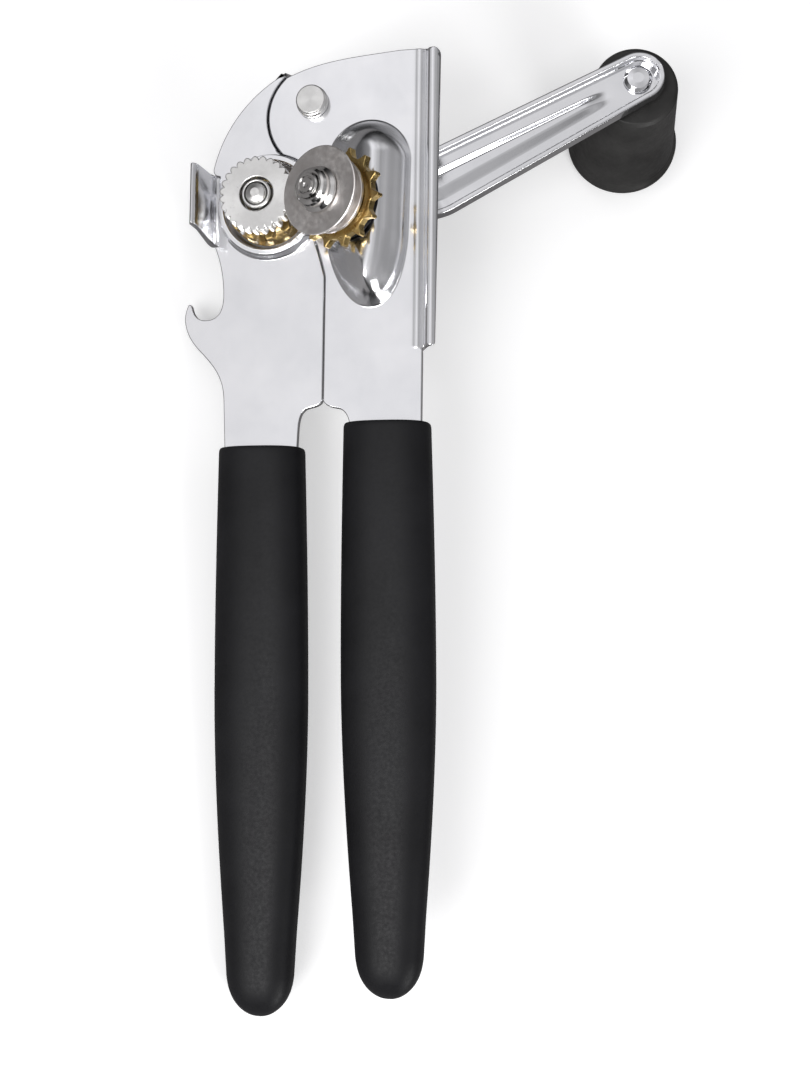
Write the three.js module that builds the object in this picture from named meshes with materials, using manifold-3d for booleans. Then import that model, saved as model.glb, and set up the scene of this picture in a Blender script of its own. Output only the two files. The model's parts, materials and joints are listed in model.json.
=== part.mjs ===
// Manual can opener: two pivoted plates with sleeve grips, a serrated feed wheel driven by a
// long crank, and a tilted cutter disc geared to it.
//
// Everything is designed in the head frame: origin on the pivot rivet at the front face of the
// plates, +X towards the cutter side, +Y towards the head's top, +Z out of the front face.
// The outermost group then lays the tool down on a table as it comes to rest there.
import * as THREE from "three";
import { mergeVertices } from "three/addons/utils/BufferGeometryUtils.js";
import Module from "manifold-3d";

const wasm = await Module();
wasm.setup();

const DEG = Math.PI / 180;

// Driving dimensions, in millimetres and degrees
const SHEET = 2; // thickness of both stamped plates
const GAP = 0.3; // clearance between touching pieces
const FEED = { x: -11.8, y: -28.6 }; // axis of the feed wheel and crank
const CUTTER_TILT = 23.6 * DEG; // the cutter's axis leans towards the feed wheel
const CUTTER = { x: 7.0, y: -30.4, z: 19 }; // centre of the cutter disc's front face
const SEAM_X = 4.1; // the line where the two plates meet
const FORK_Y = -82.6; // crotch between the two shanks
const CUP = { inner: 12.5, outer: 14.6, height: 3 };
const TONGUE = { x: 2.4, y: -3.5, r: 15 }; // round end of the cutter plate, over the feed plate
const WHEEL = { r: 10.3, back: 9, front: 13, teeth: 27 };
const DISC = { r: 11.9, thick: 1.6 };
const FEED_TEETH = 12;
const CUTTER_TEETH = 14;
const FEED_GEAR = { root: 8.6, tip: 10.8, rootShare: 0.34, tipShare: 0.16 };
const CUTTER_GEAR = { root: 11.2, tip: 13.4 };
const CRANK = { azimuth: 26.05 * DEG, reach: 108.6, hubZ: -15.3, bendZ: -32, tipZ: -45 };
const ARM = { hubR: 11, tipR: 7.3, wall: 1.6, web: 1.8, height: 5 };
const ARM_LINE = { bendFrom: 13, bendTo: 43, sag: 4.2 }; // bend and sideways sag along the arm
const KNOB = { near: 12.3, far: 16, lip: 17.2, length: 41 };
const GRIP = { thick: 15, axisZ: -1, length: 150.5 };
const SHAFT_R = 2.9;
const BORE_R = SHAFT_R + GAP;
const ROUND = 40; // segments of a full turn on turned pieces

// How the tool lies on a table, on its left grip, the crank's hub and the knob:
// turned about X, then about Y, then lifted onto the ground and centred
const REST = { pitch: 5.07, roll: -37.83 };

const FINISH = {
  chrome: { color: 0xd9dbe2, roughness: 0.12, metalness: 1 },
  nickel: { color: 0xdcdad4, roughness: 0.35, metalness: 0.9 },
  steel: { color: 0xa8a19c, roughness: 0.38, metalness: 1 },
  brass: { color: 0xb08d3e, roughness: 0.35, metalness: 1 },
  blackened: { color: 0x2a2a2c, roughness: 0.4, metalness: 0.8 },
  vinyl: { color: 0x222324, roughness: 0.6, metalness: 0 },
  plastic: { color: 0x2e2e2e, roughness: 0.45, metalness: 0 },
};

// ---- solids -------------------------------------------------------------------------------

// A closed geometry as a solid that can be cut and joined
function solid(geometry) {
  const bare = geometry.clone();
  bare.deleteAttribute("normal");
  bare.deleteAttribute("uv");
  const merged = mergeVertices(bare, 1e-4);
  const vertProperties = new Float32Array(merged.attributes.position.array);
  const triVerts = new Uint32Array(merged.index.array);
  return new wasm.Manifold(new wasm.Mesh({ numProp: 3, vertProperties, triVerts }));
}

// The geometry of a solid, with flat facets
function geometryOf(body) {
  const mesh = body.getMesh();
  const geometry = new THREE.BufferGeometry();
  geometry.setAttribute("position", new THREE.BufferAttribute(mesh.vertProperties, 3));
  geometry.setIndex(new THREE.BufferAttribute(mesh.triVerts, 1));
  const faceted = geometry.toNonIndexed();
  faceted.computeVertexNormals();
  return faceted;
}

// A flat outline between two heights
function slab(shape, low, high, curveSegments = 10) {
  const depth = high - low;
  const geometry = new THREE.ExtrudeGeometry(shape, { depth, bevelEnabled: false, curveSegments });
  return geometry.translate(0, 0, low);
}

// A turned piece about Z: the profile's [radius, z] points run up its outside
function turned(profile, segments = ROUND) {
  const points = profile.map(([r, z]) => new THREE.Vector2(r, z));
  return new THREE.LatheGeometry(points, segments).rotateX(Math.PI / 2);
}

// A turned tube: the outside profile, closed down the bore
function turnedTube(outside, bore, segments = ROUND) {
  const low = outside[0][1];
  const high = outside[outside.length - 1][1];
  return turned([[bore, low], ...outside, [bore, high], [bore, low]], segments);
}

// A skin over rings with equal numbers of points, closed by a fan at each end
function loft(rings) {
  const count = rings[0].length;
  const positions = [];
  const index = [];
  rings.forEach((ring) => ring.forEach((p) => positions.push(p.x, p.y, p.z)));
  for (let r = 0; r + 1 < rings.length; r++) {
    for (let i = 0; i < count; i++) {
      const j = (i + 1) % count;
      const [a, b] = [r * count + i, r * count + j];
      index.push(a, b, b + count, a, b + count, a + count);
    }
  }
  const ends = [rings[0], rings[rings.length - 1]];
  ends.forEach((ring, end) => {
    const centre = ring.reduce((sum, p) => sum.add(p), new THREE.Vector3()).divideScalar(count);
    const tip = positions.length / 3;
    const start = end === 0 ? 0 : (rings.length - 1) * count;
    positions.push(centre.x, centre.y, centre.z);
    for (let i = 0; i < count; i++) {
      const pair = [start + i, start + ((i + 1) % count)];
      if (end === 0) pair.reverse();
      index.push(pair[0], pair[1], tip);
    }
  });
  const geometry = new THREE.BufferGeometry();
  geometry.setAttribute("position", new THREE.Float32BufferAttribute(positions, 3));
  geometry.setIndex(index);
  return geometry;
}

function piece(name, finish, body) {
  const geometry = body.isBufferGeometry ? body : geometryOf(body);
  const mesh = new THREE.Mesh(geometry, new THREE.MeshStandardMaterial(FINISH[finish]));
  mesh.name = name;
  return mesh;
}

function outline(points) {
  return new THREE.Shape(points.map(([x, y]) => new THREE.Vector2(x, y)));
}

function disc(x, y, r, low, high, segments = ROUND) {
  return solid(turned([[0, low], [r, low], [r, high], [0, high]], segments).translate(x, y, 0));
}

// ---- outlines of the two plates ---------------------------------------------------------------

// The cutter plate from the round tongue, over the top, down the right edge and back up the seam
function cutterPlateShape() {
  const shape = new THREE.Shape();
  shape.moveTo(30.5, 13.6);
  shape.lineTo(24, 13.4);
  shape.bezierCurveTo(13, 12.4, 2, 12.2, -7.6, 7.7);
  const cupGap = CUP.outer + 0.5;
  const toFeed = Math.atan2(FEED.y - TONGUE.y, FEED.x - TONGUE.x);
  const apart = Math.hypot(FEED.y - TONGUE.y, FEED.x - TONGUE.x);
  const cornerAngle = (own, other) =>
    Math.acos((own ** 2 + apart ** 2 - other ** 2) / (2 * own * apart));
  const tongueEnd = toFeed + 2 * Math.PI - cornerAngle(TONGUE.r, cupGap);
  const cupStart = toFeed + Math.PI + cornerAngle(cupGap, TONGUE.r);
  shape.absarc(TONGUE.x, TONGUE.y, TONGUE.r, 131.7 * DEG, tongueEnd, false);
  shape.absarc(FEED.x, FEED.y, cupGap, cupStart, -34 * DEG, true);
  shape.quadraticCurveTo(2.6, -42, SEAM_X, -48.4);
  shape.lineTo(SEAM_X, FORK_Y);
  shape.quadraticCurveTo(5, -84.2, 7.6, -84.5);
  shape.bezierCurveTo(10, -84.8, 11.4, -86.6, 11.7, -91);
  return shape;
}

// Adds the shank inside the grip and closes the outline up the right edge
function closeCutterShank(shape) {
  shape.lineTo(12.6, -96);
  shape.lineTo(14.4, -150);
  shape.lineTo(17.6, -222);
  shape.absarc(22.6, -222, 5, Math.PI, 2 * Math.PI, false);
  shape.lineTo(31.2, -150);
  shape.lineTo(31.8, -96);
  shape.lineTo(31.8, -68.6);
  shape.lineTo(30.5, -68.6);
  return shape;
}

// The feed plate below its step: tab side, bottle-opener hook, shank and seam
function feedPlateShape() {
  const shape = new THREE.Shape();
  shape.moveTo(-9.9, 7.9);
  shape.absarc(9.6, -25.6, 38.8, 120.2 * DEG, 167.9 * DEG, false);
  shape.lineTo(-27.6, -39);
  shape.quadraticCurveTo(-24.6, -46, -24.7, -53.4);
  shape.bezierCurveTo(-24.8, -57.6, -26.6, -59.4, -29.6, -59.4);
  shape.bezierCurveTo(-32, -59.4, -33.2, -57.8, -33.6, -55.8);
  shape.lineTo(-34.5, -54.8);
  shape.bezierCurveTo(-36.6, -58.4, -35.6, -63.4, -31.5, -67.6);
  shape.bezierCurveTo(-27, -72.2, -24.2, -75.4, -24.0, -82);
  shape.lineTo(-23.4, -96);
  shape.lineTo(-20.2, -156);
  shape.lineTo(-15.6, -228);
  shape.absarc(-10.6, -228, 5, Math.PI, 2 * Math.PI, false);
  shape.lineTo(-4.4, -156);
  shape.lineTo(-3, -96);
  shape.lineTo(-2.8, -91);
  shape.bezierCurveTo(-2.7, -86.6, -1.9, -84.7, 0.6, -84.3);
  shape.quadraticCurveTo(3.2, -83.9, SEAM_X - GAP, FORK_Y);
  shape.lineTo(SEAM_X - GAP, -48.4);
  shape.quadraticCurveTo(2.25, -42, 0.36, -36.9);
  shape.absarc(FEED.x, FEED.y, CUP.outer + 0.1, -34 * DEG, 58 * DEG, false);
  shape.lineTo(-2, -12);
  return shape;
}

// ---- raised pad of the cutter plate -----------------------------------------------------------

const PAD = { x: 15.75, y: -31, floorDepth: 13 };
const slope = Math.tan(CUTTER_TILT);

// Height of the pad's inclined face, which lies square to the cutter's axis
function padHeight(x, depth = PAD.floorDepth) {
  const x0 = CUTTER.x + depth * Math.sin(CUTTER_TILT);
  return CUTTER.z - depth * Math.cos(CUTTER_TILT) + (x - x0) * slope;
}

function padShape() {
  const shape = new THREE.Shape();
  shape.moveTo(4.7, -17.3);
  shape.absarc(15.9, -17.3, 11.2, Math.PI, 0, true);
  shape.lineTo(26.6, -38);
  shape.bezierCurveTo(25.8, -50, 22.5, -57, 16.7, -57);
  shape.bezierCurveTo(10.5, -57, 6.2, -47, 5, -40);
  return shape;
}

// The pad as a tapered boss: its foot below the plate's face, its top on the inclined face
function padBoss(inset, footZ, faceDepth) {
  const foot = padShape().getSpacedPoints(44).slice(0, -1).reverse();
  const ring = (shrinkX, shrinkY, height) =>
    foot.map((p) => {
      const x = PAD.x + (p.x - PAD.x) * shrinkX;
      return new THREE.Vector3(x, PAD.y + (p.y - PAD.y) * shrinkY, height(x));
    });
  const foots = ring(1 - inset / 11, 1 - inset / 26, () => footZ);
  const shoulder = ring(0.92 - inset / 11, 0.965 - inset / 26, (x) => padHeight(x, faceDepth + 1.6));
  const top = ring(0.74 - inset / 11, 0.88 - inset / 26, (x) => padHeight(x, faceDepth));
  return solid(loft([foots, shoulder, top]));
}

// ---- plates -------------------------------------------------------------------------------------

// A piece on the tilted cutter axis: modelled with z = 0 at the disc's front face
function onCutterAxis(geometry) {
  return geometry.rotateY(-CUTTER_TILT).translate(CUTTER.x, CUTTER.y, CUTTER.z);
}

// Fluted stiffening strip along the cutter plate's right edge, as a section drawn in X and Z
function edgeStrip() {
  const front = [[28.6, 0], [29.6, 0.5], [30.6, 0.2], [31.6, -0.9], [32.6, -0.8]];
  front.push([34.2, 0.5], [35.4, 1.4], [36.2, 1.5]);
  const back = front.map(([x, z]) => [x - 0.1, z - SHEET]).reverse();
  back[0] = [36.3, 1.5 - SHEET];
  const strip = slab(outline([...front, ...back].map(([x, z]) => [x, -z])), -13.4, 68.4);
  return solid(strip.rotateX(Math.PI / 2).rotateX(Math.PI).rotateX(Math.PI));
}

function cutterPlate() {
  let plate = solid(slab(closeCutterShank(cutterPlateShape()), -SHEET, 0));
  plate = plate.add(edgeStrip());
  plate = plate.add(padBoss(0, -SHEET + 0.2, PAD.floorDepth));
  plate = plate.subtract(padBoss(SHEET, -SHEET - 1, PAD.floorDepth + SHEET));
  plate = plate.subtract(disc(0, 0, 3.3, -9, 9));
  plate = plate.subtract(solid(onCutterAxis(turned([[0, -30], [BORE_R, -30], [BORE_R, 0], [0, 0]]))));
  return piece("cutter_plate", "chrome", plate);
}

// The feed plate's tongue is stepped back by one sheet so that it passes behind the cutter plate
function feedPlate() {
  const stepped = -SHEET - GAP;
  const cover = (grow, low, high) => disc(TONGUE.x, TONGUE.y, TONGUE.r + grow, low, high, 72);
  const tongueShape = new THREE.Shape();
  tongueShape.moveTo(-9.9, 7.9);
  tongueShape.absarc(9.6, -25.6, 38.8, 120.2 * DEG, 150 * DEG, false);
  tongueShape.lineTo(-16, -19);
  tongueShape.lineTo(-4, -15.6);
  tongueShape.lineTo(5, -12);
  tongueShape.absarc(0, 0, 10.4, -40 * DEG, 120 * DEG, false);
  const tongue = slab(tongueShape, stepped - SHEET, stepped, 16);
  let plate = solid(slab(feedPlateShape(), -SHEET, 0, 16)).subtract(cover(GAP, -9, 9));
  const joint = solid(slab(tongueShape, stepped - SHEET, -0.8, 16)).subtract(cover(GAP, -9, 9));
  plate = plate.add(joint.intersect(cover(2.6, -9, 9)));
  plate = plate.add(solid(tongue).intersect(cover(2.6, -9, 9)));
  plate = plate.add(cupRing()).add(guideTab());
  plate = plate.subtract(disc(0, 0, 3.3, -9, 9)).subtract(disc(FEED.x, FEED.y, 4.9, -9, 9));
  return piece("feed_plate", "chrome", plate);
}

// Raised ring drawn out of the feed plate around the feed gear
function cupRing() {
  const { inner, outer, height } = CUP;
  const profile = [[outer, -0.6], [outer, 0.5], [outer - 0.7, height - 0.4], [outer - 1.1, height]];
  profile.push([inner + 0.3, height], [inner, height - 0.3]);
  return solid(turned([[inner, -0.6], ...profile, [inner, -0.6]], 56).translate(FEED.x, FEED.y, 0));
}

// Guide tab bent forward from the feed plate's left edge, with a small turned-out lip
function guideTab() {
  const section = [[-25.9, -SHEET], [-28.2, -SHEET], [-28.4, 0], [-29.3, 13], [-30.6, 14.4]];
  section.push([-30.0, 15.2], [-27.6, 13.8], [-26.4, 0]);
  const ring = (y, reach) =>
    section.map(([x, z]) => new THREE.Vector3(x, y, z > 1 ? z * reach : z)).reverse();
  return solid(loft([ring(-38.8, 0.03), ring(-38, 0.55), ring(-35.9, 0.97), ring(-35.4, 1),
    ring(-20.6, 1), ring(-19.6, 0.96), ring(-19.2, 0.9)]));
}

// ---- grips --------------------------------------------------------------------------------------

// Half width of a grip along its length, from 0 at its mouth to 1 at its end
function gripHalfWidth(t) {
  const swell = 11.75 + 0.95 * Math.sin(Math.PI * Math.min(t / 0.86, 1));
  const taper = 3.6 * Math.max(0, (t - 0.45) / 0.55) ** 1.7;
  return swell - taper;
}

// A sleeve over one shank: an oval swelling in the middle and rounded off at its end
function grip(name, axis, shank) {
  const rings = [];
  const stations = [0, 0.004, 0.012, 0.1, 0.22, 0.34, 0.46, 0.58, 0.7, 0.8, 0.88, 0.94, 0.97, 0.99, 1];
  stations.forEach((t) => {
    const mouth = Math.min(1, 0.97 + 0.03 * Math.sqrt(Math.min(1, t / 0.012)));
    const s = Math.max(0, (t - 0.94) / 0.06);
    const end = Math.sqrt(Math.max(0.02, 1 - (0.985 * s) ** 2.6));
    const halfWidth = gripHalfWidth(t) * mouth * (0.25 + 0.75 * end);
    const halfThick = (GRIP.thick / 2) * mouth * (0.25 + 0.75 * end) * (1 - 0.12 * t);
    const y = axis.top - t * GRIP.length;
    const x = axis.x + t * axis.drift;
    rings.push(ovalRing(x, y, halfWidth, halfThick));
  });
  const body = solid(loft(rings));
  return piece(name, "vinyl", body.subtract(shank));
}

// One oval section across a grip, flatter than an ellipse
function ovalRing(x, y, halfWidth, halfThick) {
  const power = 2 / 2.5;
  const ring = [];
  for (let i = 0; i < 28; i++) {
    const angle = (i / 28) * 2 * Math.PI;
    const [c, s] = [Math.cos(angle), Math.sin(angle)];
    const px = x + halfWidth * Math.sign(c) * Math.abs(c) ** power;
    const pz = GRIP.axisZ + halfThick * Math.sign(s) * Math.abs(s) ** power;
    ring.push(new THREE.Vector3(px, y, pz));
  }
  return ring;
}

// The slot that a shank leaves in its grip: the shank with clearance all round
function shankSlot(left, right, top, end) {
  const shape = new THREE.Shape();
  shape.moveTo(left.top - 0.4, top);
  shape.lineTo(left.mid - 0.4, -153);
  shape.lineTo(left.end - 0.4, end);
  shape.absarc((left.end + right.end) / 2, end, (right.end - left.end) / 2 + 0.4, Math.PI, 2 * Math.PI);
  shape.lineTo(right.mid + 0.4, -153);
  shape.lineTo(right.top + 0.4, top);
  return solid(slab(shape, -SHEET - GAP, GAP));
}

function grips() {
  const cutterEdges = [{ top: 11.4, mid: 14.2, end: 17.4 }, { top: 32, mid: 31.5, end: 27.8 }];
  const feedEdges = [{ top: -24.2, mid: -20.7, end: -15.8 }, { top: -2.6, mid: -4, end: -5.4 }];
  const cutterSlot = shankSlot(...cutterEdges, -80, -222);
  const feedSlot = shankSlot(...feedEdges, -80, -228);
  return {
    cutter: grip("cutter_grip", { x: 21.7, drift: 2.5, top: -89 }, cutterSlot),
    feed: grip("feed_grip", { x: -13, drift: 2.4, top: -95.2 }, feedSlot),
  };
}

// ---- pivot ----------------------------------------------------------------------------------------

function pivotRivet() {
  const back = -2 * SHEET - 2 * GAP - 1.2;
  const profile = [[0, back - 1.8], [3.4, back - 1.8], [4.4, back - 1.1], [4.4, back - GAP]];
  profile.push([3, back - GAP], [3, GAP], [4.4, GAP], [4.4, 1.5], [4.15, 1.7], [4.15, 3]);
  profile.push([3.9, 3.3], [0, 3.3]);
  return piece("pivot_rivet", "nickel", turned(profile));
}

function pivotWasher() {
  const top = -2 * SHEET - 2 * GAP;
  return piece("pivot_washer", "nickel", turnedTube([[6.2, top - 1.2], [6.2, top]], 3.3));
}

// ---- feed shaft and wheel -------------------------------------------------------------------------

// An outline of teeth as [radius, share of a tooth] corners, repeated round the axis
function toothed(teeth, corners, phase = 0) {
  const points = [];
  for (let i = 0; i < teeth; i++) {
    corners.forEach(([r, share]) => {
      const angle = phase + ((i + share) / teeth) * 2 * Math.PI;
      points.push([r * Math.cos(angle), r * Math.sin(angle)]);
    });
  }
  return outline(points);
}

function withBore(shape, radius) {
  const hole = new THREE.Path();
  hole.absarc(0, 0, radius, 0, 2 * Math.PI, true);
  shape.holes.push(hole);
  return shape;
}

function feedWheel() {
  const corners = [[WHEEL.r - 0.9, -0.5], [WHEEL.r - 0.35, -0.33], [WHEEL.r, -0.14], [WHEEL.r, 0.14]];
  corners.push([WHEEL.r - 0.35, 0.33]);
  const shape = withBore(toothed(WHEEL.teeth, corners), 4.4);
  return piece("feed_wheel", "nickel", slab(shape, WHEEL.back, WHEEL.front, 8));
}

// Direction from the feed gear to the cutter gear's middle, about +Z
const cutterGearX = CUTTER.x + 9 * Math.sin(CUTTER_TILT);
const meshAngle = Math.atan2(CUTTER.y - FEED.y, cutterGearX - FEED.x);

// Broad straight-sided teeth, with a gap turned towards the cutter gear
function feedGear() {
  const { root, tip, rootShare, tipShare } = FEED_GEAR;
  const corners = [[root, -rootShare], [tip, -tipShare], [tip, tipShare], [root, rootShare]];
  const shape = toothed(FEED_TEETH, corners, meshAngle + Math.PI / FEED_TEETH);
  return piece("feed_gear", "brass", slab(withBore(shape, BORE_R), 3.4, 6.6, 8));
}

function driveShaft() {
  const back = CRANK.hubZ - ARM.height;
  const profile = [[0, back - 2.2], [2.6, back - 2], [4.4, back - 1.1], [4.6, back - GAP]];
  profile.push([SHAFT_R, back - GAP], [SHAFT_R, 13.3], [2.4, 14], [1.2, 14.4], [0, 14.5]);
  return piece("drive_shaft", "nickel", turned(profile));
}

function wheelSleeve() {
  return piece("wheel_sleeve", "nickel", turnedTube([[4.1, 6.9], [4.1, 13.1], [3.8, 13.4]], BORE_R));
}

function wheelCollar() {
  return piece("wheel_collar", "steel", turnedTube([[7.4, 6.9], [7.4, 8.7]], 4.4));
}

function shaftBushing() {
  const outside = [[6.6, -4.4], [6.6, -SHEET - GAP], [4.6, -SHEET - GAP], [4.6, GAP], [7, GAP], [7, 3.1]];
  return piece("shaft_bushing", "steel", turnedTube(outside, BORE_R));
}

function springWasher() {
  return piece("spring_washer", "steel", turnedTube([[6.2, -6], [6.2, -4.7]], BORE_R));
}

function crankHub() {
  const low = CRANK.hubZ - ARM.height + ARM.web + GAP;
  const outside = [[6, low], [6, CRANK.hubZ + 1], [6.6, CRANK.hubZ + 2], [6.6, -7], [6, -6.4]];
  return piece("crank_hub", "chrome", turnedTube(outside, BORE_R));
}

// ---- crank arm ------------------------------------------------------------------------------------

// Height of the arm's rim along its length: level at the hub, a bend, then a straight slope
function rimHeight(u) {
  const { bendFrom, bendTo } = ARM_LINE;
  const outer = CRANK.bendZ + ((u - bendTo) / (CRANK.reach - bendTo)) * (CRANK.tipZ - CRANK.bendZ);
  const t = Math.min(1, Math.max(0, (u - bendFrom) / (bendTo - bendFrom)));
  const ease = t * t * (3 - 2 * t);
  return CRANK.hubZ + ease * (outer - CRANK.hubZ);
}

// Sideways offset of the arm's centre line: the visible part runs a little steeper than a radius
function armSide(u) {
  const { bendFrom, bendTo, sag } = ARM_LINE;
  if (u > bendTo) return (-sag * Math.max(0, CRANK.reach - u)) / (CRANK.reach - bendTo);
  const t = Math.max(0, (u - bendFrom) / (bendTo - bendFrom));
  return -sag * t * t * (3 - 2 * t);
}

// Half width of the arm's outline, drawn in by an inset
function armHalfWidth(u, inset) {
  const { hubR, tipR } = ARM;
  const along = hubR + (u / CRANK.reach) * (tipR - hubR);
  const past = u < 0 ? -u / (hubR - inset) : (u - CRANK.reach) / (tipR - inset);
  if (past <= 0) return along - inset;
  return past >= 1 ? 0 : ((u < 0 ? hubR : tipR) - inset) * Math.sqrt(1 - past * past);
}

// Central rib pressed into the web, widest near the hub
function ribAt(u) {
  const share = (u - 22) / 77;
  if (share < 0 || share > 1) return { half: 1, height: 0 };
  return { half: 4.4 - 3.2 * share, height: 1.5 * Math.min(1, share * 12, (1 - share) * 12) };
}

function armRing(u) {
  const z = rimHeight(u);
  const b = armHalfWidth(u, 0) + 0.05;
  const inner = armHalfWidth(u, ARM.wall);
  const open = inner > 0;
  const bi = open ? inner : b * 0.3;
  const floor = open ? z - ARM.height + ARM.web : z - 0.04;
  const rib = open ? ribAt(u) : { half: 1, height: 0 };
  const foot = Math.min(rib.half + 0.9, bi * 0.8);
  const crest = Math.min(rib.half * 0.5, bi * 0.4);
  const section = [[b, z], [b, z - ARM.height + 1], [b * 0.9, z - ARM.height], [-b * 0.9, z - ARM.height]];
  section.push([-b, z - ARM.height + 1], [-b, z], [-bi, z], [-bi, floor], [-foot, floor]);
  section.push([-crest, floor + rib.height], [crest, floor + rib.height]);
  section.push([foot, floor], [bi, floor], [bi, z]);
  return section.map(([y, h]) => new THREE.Vector3(u, y + armSide(u), h)).reverse();
}

function armStations() {
  const { hubR, tipR, wall } = ARM;
  const end = CRANK.reach;
  const quarter = [1, 0.97, 0.88, 0.72, 0.5, 0.25];
  const stations = quarter.map((s) => -s * hubR);
  stations.push(-(hubR - wall) - 0.01, -(hubR - wall) + 0.05);
  for (let u = 0; u <= 22; u += 5.5) stations.push(u);
  for (let u = 26; u < end; u += 5.6) stations.push(u);
  stations.push(end, end + tipR - wall - 0.05, end + tipR - wall + 0.01);
  quarter.forEach((s) => stations.push(end + s * tipR));
  return stations.sort((a, b) => a - b);
}

// Pressed channel with its rims towards the plates; z heights are those of the head frame
function crankArm() {
  const arm = solid(loft(armStations().map(armRing)));
  const shaftHole = disc(0, 0, BORE_R, -60, 20);
  const pinHole = disc(0, 0, 3, -20, 20).getMesh();
  const pin = new THREE.BufferGeometry();
  pin.setAttribute("position", new THREE.BufferAttribute(pinHole.vertProperties, 3));
  pin.setIndex(new THREE.BufferAttribute(pinHole.triVerts, 1));
  return piece("crank_arm", "chrome", arm.subtract(shaftHole).subtract(solid(onKnobAxis(pin))));
}

// ---- knob -----------------------------------------------------------------------------------------

const armSlope = Math.atan2(CRANK.bendZ - CRANK.tipZ, CRANK.reach - ARM_LINE.bendTo);

// A piece on the knob's axis: modelled with z = 0 at the arm's rim, square to the sloping arm
function onKnobAxis(geometry) {
  return geometry.rotateY(armSlope).translate(CRANK.reach, 0, CRANK.tipZ);
}

const knobTop = -ARM.height - 2.4;

function knobPin() {
  const end = knobTop - KNOB.length + 5;
  const web = -ARM.height + ARM.web;
  const profile = [[0, end - 2.6], [3.2, end - 2.4], [4, end - 1.6], [4, end - 1.4 - GAP]];
  profile.push([2.6, end - 1.4 - GAP], [2.6, web + GAP]);
  profile.push([4.2, web + GAP], [4.2, web + 1], [3.2, web + 1.7], [0, web + 1.9]);
  return piece("knob_pin", "chrome", onKnobAxis(turned(profile)));
}

function knobWasher() {
  const outside = [[6.4, knobTop + GAP], [6.4, -ARM.height - GAP]];
  return piece("knob_washer", "steel", onKnobAxis(turnedTube(outside, 2.9)));
}

function knobEndWasher() {
  const end = knobTop - KNOB.length + 5;
  return piece("knob_end_washer", "steel", onKnobAxis(turnedTube([[5.6, end - 1.4], [5.6, end - GAP]], 2.9)));
}

// Tapered knob with a lip at its far end and a well there for the pin's riveted end
function crankKnob() {
  const { near, far, lip, length } = KNOB;
  const low = knobTop - length;
  const profile = [[2.9, low + 5], [6.4, low + 5], [6.4, low], [lip - 0.8, low], [lip, low + 0.8]];
  profile.push([lip, low + 2.4], [far + 0.6, low + 3.4], [far, low + 4.4], [near + 0.3, knobTop - 1.2]);
  profile.push([near - 0.6, knobTop], [2.9, knobTop], [2.9, low + 5]);
  return piece("crank_knob", "plastic", onKnobAxis(turned(profile, 48)));
}

// ---- cutter ---------------------------------------------------------------------------------------

function cutterStud() {
  const profile = [[0, -17.6], [3, -17.4], [3.9, -16.5], [3.9, -15.6], [SHAFT_R, -15.6], [SHAFT_R, 4.5]];
  profile.push([3.7, 4.5], [3.7, 5.1], [3.3, 5.4], [0, 5.4]);
  return piece("cutter_stud", "chrome", onCutterAxis(turned(profile)));
}

function cutterHub() {
  const outside = [[6, GAP], [6.1, 1.5], [5.5, 1.7], [5.3, 2.3], [5.2, 3.4], [4.4, 4.2]];
  return piece("cutter_hub", "chrome", onCutterAxis(turnedTube(outside, BORE_R)));
}

function cutterDisc() {
  const { r, thick } = DISC;
  const outside = [[r - 1.9, -thick], [r - 0.1, -0.1], [r - 0.1, 0]];
  return piece("cutter_disc", "steel", onCutterAxis(turnedTube(outside, BORE_R, 64)));
}

function cutterCollar() {
  const outside = [[9, -7.5], [9, -6.4], [10.1, -6.2], [10.1, -5.2], [8.2, -5], [8.2, -3.2]];
  outside.push([9.3, -2.8], [9.3, -1.9]);
  return piece("cutter_collar", "steel", onCutterAxis(turnedTube(outside, BORE_R)));
}

// Pointed teeth with rounded gullets, one tooth turned towards the feed gear
function cutterGear() {
  const towardsFeed = Math.PI - Math.atan2(FEED.y - CUTTER.y, cutterGearX - FEED.x);
  const { root, tip } = CUTTER_GEAR;
  const flank = [[root, 0.33], [root + 0.3, 0.24], [root + 1.2, 0.13], [tip, 0.06]];
  const corners = [...flank.map(([r, share]) => [r, -share]), ...flank.reverse()];
  const shape = withBore(toothed(CUTTER_TEETH, corners, towardsFeed), BORE_R);
  return piece("cutter_gear", "brass", onCutterAxis(slab(shape, -10.1, -7.8, 8)));
}

function cutterSpacer() {
  const ring = turnedTube([[10.2, -12.6], [10.2, -10.4]], BORE_R);
  return piece("cutter_spacer", "blackened", onCutterAxis(ring));
}

// ---- assembly ---------------------------------------------------------------------------------------

function group(parts, place = (g) => g) {
  const g = new THREE.Group();
  g.add(...parts);
  place(g);
  return g;
}

const gripPair = grips();
const cutterHandle = [cutterPlate(), gripPair.cutter, pivotRivet(), cutterStud(), cutterSpacer()];
const feedHandle = [feedPlate(), gripPair.feed, pivotWasher()];
const cutterTrain = [cutterHub(), cutterDisc(), cutterCollar(), cutterGear()];
const feedTrain = [driveShaft(), feedWheel(), wheelSleeve(), wheelCollar(), feedGear(), springWasher()];
const crank = [crankArm(), knobPin(), knobEndWasher(), knobWasher(), crankKnob()];

const crankGroup = group(crank, (g) => g.rotateZ(CRANK.azimuth));
const feedAxis = group([...feedTrain, crankHub(), shaftBushing(), crankGroup], (g) =>
  g.position.set(FEED.x, FEED.y, 0),
);
const head = group([...cutterHandle, ...feedHandle, ...cutterTrain, feedAxis]);
const pitched = group([head], (g) => g.rotateX(REST.pitch * DEG));
const opener = group([pitched], (g) => {
  g.rotateY(REST.roll * DEG);
  g.updateMatrixWorld(true);
  const box = new THREE.Box3().setFromObject(g, true);
  const centre = box.getCenter(new THREE.Vector3());
  g.position.set(-centre.x, -centre.y, -box.min.z);
});

export default group([opener]);
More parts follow.
